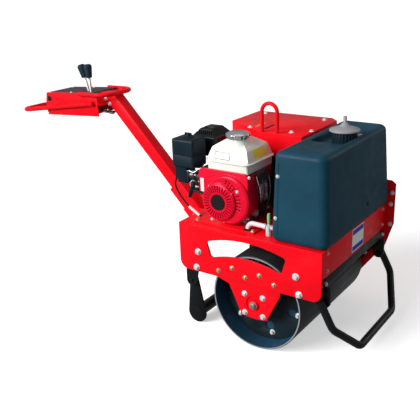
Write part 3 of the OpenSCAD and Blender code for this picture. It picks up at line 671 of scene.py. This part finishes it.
def guard_fasteners():
    rim = [(312, 533), (308, 482), (310, 391), (267, 340), (203, 236)]
    bolts("guard_bolts_front", at_depth(SIDE_FACE, rim), "-y", GUARD_FRONT_BOLT, zinc_plate, seed=3)
    round_rim = [(-48, 141), (60, 141), (150, 143), (215, 212), (276, 297), (311, 400), (312, 482),
                 (311, 566), (210, 575), (90, 575), (-30, 575), (-150, 575), (-290, 574), (-317, 470),
                 (-316, 345), (-180, 314), (-104, 270)]
    bolts("guard_bolts", at_depth(322, round_rim), "+y", GUARD_BOLT, zinc_plate, seed=6)


def front_details():
    at = plane_at((FRONT_X, 8.5, 435), ALONG_Y, ALONG_Z)
    plate_piece("front_label", [round_corners(box_outline(113, 98), 2)], 0.5, at, white_film)
    bands = [box_outline(105, 20, 0, 34), box_outline(105, 20, 0, -34)]
    plate_piece("front_label_bands", bands, 0.25, at, blue_film, lift=0.5)
    bolts("front_plate_screws", [(FRONT_X, y, z) for y in (-270, 270) for z in (400, 470)], "+x",
          PLATE_SCREW, yellow_zinc, seed=9)
    for side, y, way in (("right", -281, "+y"), ("left", 281, "-y")):
        places = at_depth(y, [(272, 338), (290, 352)])
        bolts("hoop_bracket_bolts_" + side, places, way, SMALL_BOLT, zinc_plate, seed=11)


def deck_details():
    bolts("engine_feet_bolts", [(x, y, 509) for x in (-240, -98) for y in (-208, -62)], "+z",
          MOUNT_BOLT, zinc_plate, seed=12)
    bolts("mount_bolts", [(x, y, 493) for x in (-288, -27) for y in (-272, -48)], "+z",
          MOUNT_BOLT, yellow_zinc, seed=13)
    cheek = [(-420, 362), (-470, 400), (-430, 420)]
    bolts("cheek_bolts_right", at_depth(-47.5, cheek), "-y", CHEEK_BOLT, zinc_plate, seed=14)
    bolts("cheek_bolts_left", at_depth(47.5, cheek), "+y", CHEEK_BOLT, zinc_plate, seed=15)


def hood_details():
    corners = [(-214, 25), (-17, 20), (46, 74), (-300, 300), (0, 290)]
    bolts("hood_bolts", [(x, y, HOOD_TOP) for x, y in corners], "+z", HOOD_BOLT, zinc_plate, seed=16)
    strip = [(-34, -46), (-14, -46), (-20, 44), (-42, 44)]
    at = plane_at((-174, 88, HOOD_TOP), ALONG_X, ALONG_Y)
    plate_piece("hood_label", [round_corners(strip, 3)], 0.4, at, orange_film)
    # A black strip at the bottom of the slot in the hood's top, so that the slot reads dark: painted shade.
    slot = plane_at((-147, 76, HOOD_TOP - 3), ALONG_X, ALONG_Y)
    plate_piece("hood_slot_shade", [round_corners(box_outline(13.4, 91.4), 3)], 2, slot, black_and_painted_shade)


def drum_details():
    bolt_circle, hole_circle = 158, 130
    turns = [math.radians(a) for a in range(-137, 223, 60)]
    for side, y, way in (("right", -225, "-y"), ("left", 225, "+y")):
        places = around(0, y, AXLE_Z, bolt_circle, turns)
        bolts("web_bolts_" + side, places, way, DISC_BOLT, zinc_plate, "drum", seed=17)
    # Plates behind the disc's holes, where the photograph shows blue: a guess
    plate = [(0.5, 0), (18.9, 0), (18.9, 2), (0.5, 2.2)]
    turns = [-math.radians(a) for a in range(20, 380, 60)]
    for side, y, across in (("right", -218, ALONG_X), ("left", 218, AGAINST_X)):
        holes = [plane_at(place, across, ALONG_Z) for place in around(0, y, AXLE_Z, hole_circle, turns)]
        turned_piece("disc_inner_plates_" + side, plate, holes, web_paint, "drum")


# Engine

CRANK_X, CRANK_Z = middle_of("starter", "x"), middle_of("starter", "z")


def starter_details():
    middle_radius, middle_y = 32.5, -285.5

    def in_middle(p):
        return math.hypot(p.x - CRANK_X, p.z - CRANK_Z) <= middle_radius and p.y <= middle_y

    eased_copy("starter", engine_enamel, edge=0, keep=lambda p: not in_middle(p))
    eased_copy("starter", black_and_painted_shade, edge=0, suffix="_middle", keep=in_middle)
    # A black disc in the cavity behind the starter's slots, so that the slots read dark: painted shade.
    at = plane_at((CRANK_X, -279, CRANK_Z), ALONG_X, ALONG_Z)
    slot_shade_disc = [(70.4, 0), (70.4, 1.2), (34, 1.8)]
    turned_piece("starter_slot_shade", slot_shade_disc, [at], black_and_painted_shade, sides=48)
    places = around(CRANK_X, -281, CRANK_Z, 73, (0.6, 2.2, 4.1))
    bolts("starter_screws", places, "-y", SMALL_SCREW, dull_zinc, sides=20, seed=18)
    bolts("cover_screws", [(-93, -275, 645), (-46, -262, 705), (-224, -262, 505), (-166, -262, 507)], "-y",
          COVER_SCREW, zinc_plate, seed=19)


def blank_plate(name, at, w, h, edge, film):
    """A plate of one colour with a dark edge, and nothing on it."""
    plate_piece(name, [round_corners(box_outline(w, h), 3)], 0.5, at, ink_film)
    face = round_corners(box_outline(w - 2 * edge, h - 2 * edge), 2)
    plate_piece(name + "_face", [face], 0.25, at, film, lift=0.5)


def fuel_tank_details():
    lean, rise = 15.3, 45
    at = plane_at((-178, -242.7, 770), ALONG_X, (0, lean, rise))
    blank_plate("tank_label", at, 74, 34, 3.6, white_film)
    at = plane_at((-66.5, -150, 777), (0, 1, 0.02), (-lean, 0, rise))
    blank_plate("tank_side_plate", at, 88, 37, 0.6, yellow_film)
    blank_plate("cover_strip", plane_at((-266, -262, 645), ALONG_X, ALONG_Z), 20, 60, 1.2, white_film)
    blank_plate("cover_side_strip", plane_at((-53, -212, 586), ALONG_Y, ALONG_Z), 18, 50, 1.2, white_film)


def carburettor_details():
    bolts("carburettor_screws", [(x, -236, z) for x in (-324, -300) for z in (648, 674)], "-y",
          CARBURETTOR_SCREW, zinc_plate, seed=21)
    bolts("bowl_screws", [(-334, -226, 631), (-310, -240, 622)], "-y", BOWL_SCREW, yellow_zinc,
          sides=16, seed=22)
    rods = [smooth_path([(-344, -256, 689), (-330, -259, 692), (-312, -258, 688), (-292, -254, 700)], 4),
            smooth_path([(-318, -256, 655), (-328, -260, 640), (-322, -259, 622), (-306, -256, 612)], 4)]
    tube_piece("throttle_rods", rods, 3, zinc_plate, sides=8)
    coil = [(3.4 + 0.8 * (k % 2), k * 1.6) for k in range(18)]
    ends = [plane_at((-330, -252, 676), ALONG_Y, ALONG_Z), plane_at((-312, -252, 628), ALONG_Y, (0, 0.4, 1))]
    turned_piece("throttle_springs", coil, ends, zinc_plate, sides=14)
    lead = smooth_path([(-292, -212, 712), (-300, -232, 704), (-330, -240, 706), (-342, -226, 700)], 5)
    tube_piece("fuel_hose", [lead], 7, cable_jacket)
    boot = [(7, 0), (8.5, 4), (8.5, 22), (6, 30), (4.5, 44)]
    at = plane_at((-306, -120, 655), ALONG_Y, (0.9, 0, 1))
    turned_piece("plug_boot", boot, [at], cable_jacket)


def wiring():
    """Leads, rod, bolts and filler cap in front of the crankcase, and behind them on the hood a black plate
    of painted shade with dark ribs and covers.
    """
    runs = [[(-40, -176, 700), (-22, -196, 672), (-14, -204, 628), (-26, -200, 584), (-34, -188, 556)],
            [(-44, -140, 704), (-12, -168, 690), (2, -182, 646), (-4, -188, 596), (-22, -180, 560)],
            [(-47, -196, 688), (-34, -212, 650), (-30, -212, 606), (-40, -202, 572)]]
    leads = [smooth_path(run, 5) for run in runs]
    tube_piece("ignition_leads", leads, 6.5, cable_jacket, sides=10)
    rod = [(-46, -206, 694), (-28, -210, 640), (-28, -208, 604)]
    tube_piece("governor_rod", [rod], 3.5, zinc_plate, sides=8)
    bolts("switch_box_screws", [(-52, y, z) for y in (-164, -122) for z in (598, 634)], "+x", SMALL_SCREW,
          zinc_plate, sides=16, seed=23)
    bolts("crankcase_bolts", [(-86, y, z) for y in (-212, -52) for z in (515, 645)], "+x",
          SMALL_BOLT, zinc_plate, seed=24)
    cap = [(4, 0), (11, 1), (12, 8), (12, 14), (8, 18)]
    at = plane_at((-57, -168, 529), ALONG_Y, ALONG_Z)
    turned_piece("oil_filler_cap", cap, [at], black_plastic)
    hood_face = plane_at((0, face_of("belt_hood", "y", min) - 0.2, 0), ALONG_X, ALONG_Z)
    ribs = [round_corners(box_outline(7, 212, x, 618), 2) for x in range(-78, 52, 12)]
    # A black plate on the hood's face, behind the leads, darkens the gap between the engine and the water
    # tank: painted shade. The black ribs and covers on it add dark shapes in that gap.
    shade_plate = round_corners(box_outline(138, 238, -15, 619), 8)
    plate_piece("shade_screen", [shade_plate], 2, hood_face, black_and_painted_shade)
    plate_piece("inner_screen_ribs", ribs, 2, hood_face, black_plastic, lift=2)
    covers = [round_corners(box_outline(32, 54, -64, 560), 5),
              round_corners(box_outline(22, 34, -66, 640), 4)]
    plate_piece("inner_screen_covers", covers, 26, hood_face, black_plastic, lift=2)


def throttle_details():
    """The cable from the air cleaner to the deck, and its held end below the control head."""
    run = smooth_path([(-411.3, -222, 655), (-428, -223, 634), (-432, -224, 606), (-412, -225, 570),
                       (-362, -228, 524), (-306, -231, 494.4), (-303, -231, 494.1)], 4)
    jacket = tube_piece("throttle_cable_jacket", [run], 8, cable_jacket,
                        stands_for=("throttle_cable",))
    sleeve = [(-362, -228, 524), (-350, -228.6, 517.6), (-320, -230.4, 501.8), (-308, -231, 495.4)]
    cover = tube_piece("throttle_sleeve", [sleeve], 13, sleeve_pvc)
    under = smooth_path([(-1022, -14, 834), (-996, -13, 828), (-968, -12, 828), (-946, -10, 832),
                         (-930.8, -8, 838)], 4)
    tube_piece("head_cable", [under], 10, cable_jacket, stands_for=("throttle_cable",))
    ferrule = [(6, 0), (8.5, 1), (8.5, 9), (6.5, 10), (6.5, 14), (9, 15), (9, 24), (6, 25)]
    ends = [plane_at((-1012, -14, 831), ALONG_Y, ALONG_Z), plane_at((-976, -12.2, 827.6), ALONG_Y, ALONG_Z)]
    turned_piece("cable_ferrules", ferrule, ends, chrome)


# Handle and head

def head_details():
    beam = [(-955, 872), (-978, 893)]
    bolts("beam_bolts", at_depth(-29, beam), "-y", BEAM_BOLT, zinc_plate, seed=25)
    grommet = [(4, -6), (10.7, -6), (10.7, 0), (14, 0.2), (13, 2), (4, 2.4)]
    for side, y, across in (("right", -93, ALONG_X), ("left", 93, AGAINST_X)):
        at = plane_at((-1295.6, y, 881.2), across, ALONG_Z)
        turned_piece("head_grommet_" + side, grommet, [at], cable_jacket)
    tilt = math.radians(3.4)
    along = Vector((math.cos(tilt), 0, math.sin(tilt)))
    corners = [Vector((-976.8, y, 929.9)) + along * x for x in (-322, -178) for y in (-78, 78)]
    bolts("panel_screws", corners, (0, -tilt, 0), PANEL_SCREW, zinc_plate, sides=18, seed=28)
    bolts("beam_bolts_far", at_depth(29, beam), "+y", BEAM_BOLT, zinc_plate, seed=26)


# Water tank

TANK_BASE = face_of("water_tank", "z", min)
TANK_HEIGHT = face_of("water_tank", "z", max) - TANK_BASE


def tank_shell():
    """Rotation-moulded tank: leaning walls, large soft front corners, and a filler pocket in the top."""
    rear, front = face_of("water_tank", "x", min), face_of("water_tank", "x", max)
    half_width = face_of("water_tank", "y", max)
    rear_lean, front_lean, side_lean = 6, 21, 20
    front_corner, rear_corner, pocket_corner = 34, 14, 26
    foot_round, top_round = 30, 22
    quarter = [math.pi / 2 * k / 8 for k in range(9)]
    foot = sorted((foot_round * (1 - math.cos(a)), foot_round * (1 - math.sin(a))) for a in quarter)
    walls = [(60 + 32 * k, 0) for k in range(9)]
    shoulder = [(TANK_HEIGHT - top_round * (1 - math.sin(a)), top_round * (1 - math.cos(a)))
                for a in quarter]
    rings = []
    for h, inset in foot + walls + shoulder:
        t = h / TANK_HEIGHT
        ahead = max(6, front_corner - inset)
        behind = max(4, rear_corner - inset * 0.4)
        rings.append(rounded_ring(rear + rear_lean * t + inset, front - front_lean * t - inset,
                                  -half_width + side_lean * t + inset, half_width - side_lean * t - inset,
                                  (ahead, ahead, behind, behind), TANK_BASE + h))
    for inset, depth in [(0, 0), (2, 1.5), (3, 5), (6, 24), (10, 26)]:
        rings.append(rounded_ring(122 + inset, 263 - inset, -104 + inset, 142 - inset,
                                  (pocket_corner - inset,) * 4, TANK_BASE + TANK_HEIGHT - depth))
    bm = bmesh.new()
    close_up(bm, [[bm.verts.new(Vector(p) * MM) for p in ring] for ring in rings])
    bmesh.ops.recalc_face_normals(bm, faces=bm.faces)
    return as_piece("tank_shell", bm, tank_plastic, stands_for=("water_tank",), smooth=50)


def tank_details():
    tank_shell()
    dome_from = 856.5
    eased_copy("tank_cap", black_plastic, edge=0.0004, keep=lambda p: p.z < dome_from)
    eased_copy("tank_cap", cap_plastic, edge=0.001, suffix="_dome",
               keep=lambda p: p.z >= dome_from)
    bolts("tank_screws", [(99, -300.4, 743), (95, -309.6, 584)], "-y", TANK_SCREW, faded_enamel,
          sides=20, seed=27)
    seam = [(104 - 0.012 * k, -315.3 + 20 * k / TANK_HEIGHT, TANK_BASE + k) for k in range(34, 322, 16)]
    tube_piece("tank_seam", [seam], 3, tank_plastic, sides=8)
    vent = [(9, 0), (13, 3), (13, 9), (9, 13), (5, 14)]
    at = plane_at((238, 116, 811), ALONG_X, ALONG_Y)
    turned_piece("tank_vent", vent, [at], faded_enamel)
    plug = [(0.5, 0), (9, 0.2), (9, 1.2), (0.5, 1.4)]
    at = plane_at((300.8, 70, 560), ALONG_Y, (-0.06, 0, 1))
    turned_piece("tank_plug", plug, [at], black_and_painted_shade)


def water_details():
    lever = smooth_path([(40, -262, 534), (40.3, -262.5, 550), (40.6, -263, 566), (41, -264, 577)], 4)
    widths = [10 + 3 * math.sin(math.pi * k / 12) for k in range(13)]
    tube_piece("valve_lever", [lever], widths, green_vinyl)
    clamp = [(10.2, 0), (11.4, 0.8), (11.4, 6.2), (10.2, 7)]
    at = plane_at((18, -262, 521), ALONG_Y, ALONG_Z)
    turned_piece("hose_clamps", clamp, [at], zinc_plate)
    grommet = [(10, 0), (17, 0.5), (17, 3), (12, 6), (10, 6)]
    at = plane_at((-54, -262, 493), ALONG_X, ALONG_Y)
    turned_piece("deck_grommet", grommet, [at], cable_jacket)


# Drum and stands

def drum_surfaces():
    inside_limit = 193.5

    def inside(p):
        return math.hypot(p.x, p.z - AXLE_Z) < inside_limit

    eased_copy("drum_shell", drum_steel, "drum", edge=0.0006, keep=lambda p: not inside(p))
    eased_copy("drum_shell", web_paint, "drum", edge=0, suffix="_inside", keep=inside)
    # A lighter steel ring on the shell's end faces, where the drum's edge shows bright.
    rim = [(192.5, 0), (197.6, 0), (197.6, 0.5), (192.5, 0.5)]
    bm = bmesh.new()
    for y, across in ((-300, ALONG_X), (300, AGAINST_X)):
        rings = turned_rings(bm, rim, plane_at((0, y, AXLE_Z), across, ALONG_Z), 120)
        for first, second in zip(rings, rings[1:] + rings[:1]):
            bridge(bm, first, second)
    bmesh.ops.recalc_face_normals(bm, faces=bm.faces)
    as_piece("drum_rims", bm, bright_rim_steel, "drum")


def stand_details():
    thick = 11.2
    turns = [math.radians(d) for d in range(180, 361, 12)]
    pin_x, pin_z, end_radius = -338, 205, 24.4
    foot = [(pin_x + end_radius * math.cos(a), pin_z + end_radius * math.sin(a)) for a in turns]
    outline = foot + [(-277.6, 399), (-347.2, 399), (-362.6, 266)]
    for side, y in (("right", -267.6), ("left", 256.4)):
        at = plane_at((0, y + thick, 0), ALONG_X, ALONG_Z)
        plate_piece("stand_bracket_" + side, [outline], thick, at, black_enamel)
    pad = [(28, 0), (33, 0.2), (33, 2), (30, 2.6), (24, 2.8), (18, 3.6), (10, 3.8)]
    for side, y, across in (("right", -251, ALONG_X), ("left", 251, AGAINST_X)):
        at = plane_at((-328, y, 45), across, ALONG_Z)
        turned_piece("foot_rings_" + side, pad, [at], black_enamel, "rear_stand")


frame_fasteners()
guard_fasteners()
front_details()
deck_details()
hood_details()
drum_surfaces()
drum_details()
stand_details()
starter_details()
fuel_tank_details()
carburettor_details()
wiring()
throttle_details()
head_details()
tank_details()
water_details()
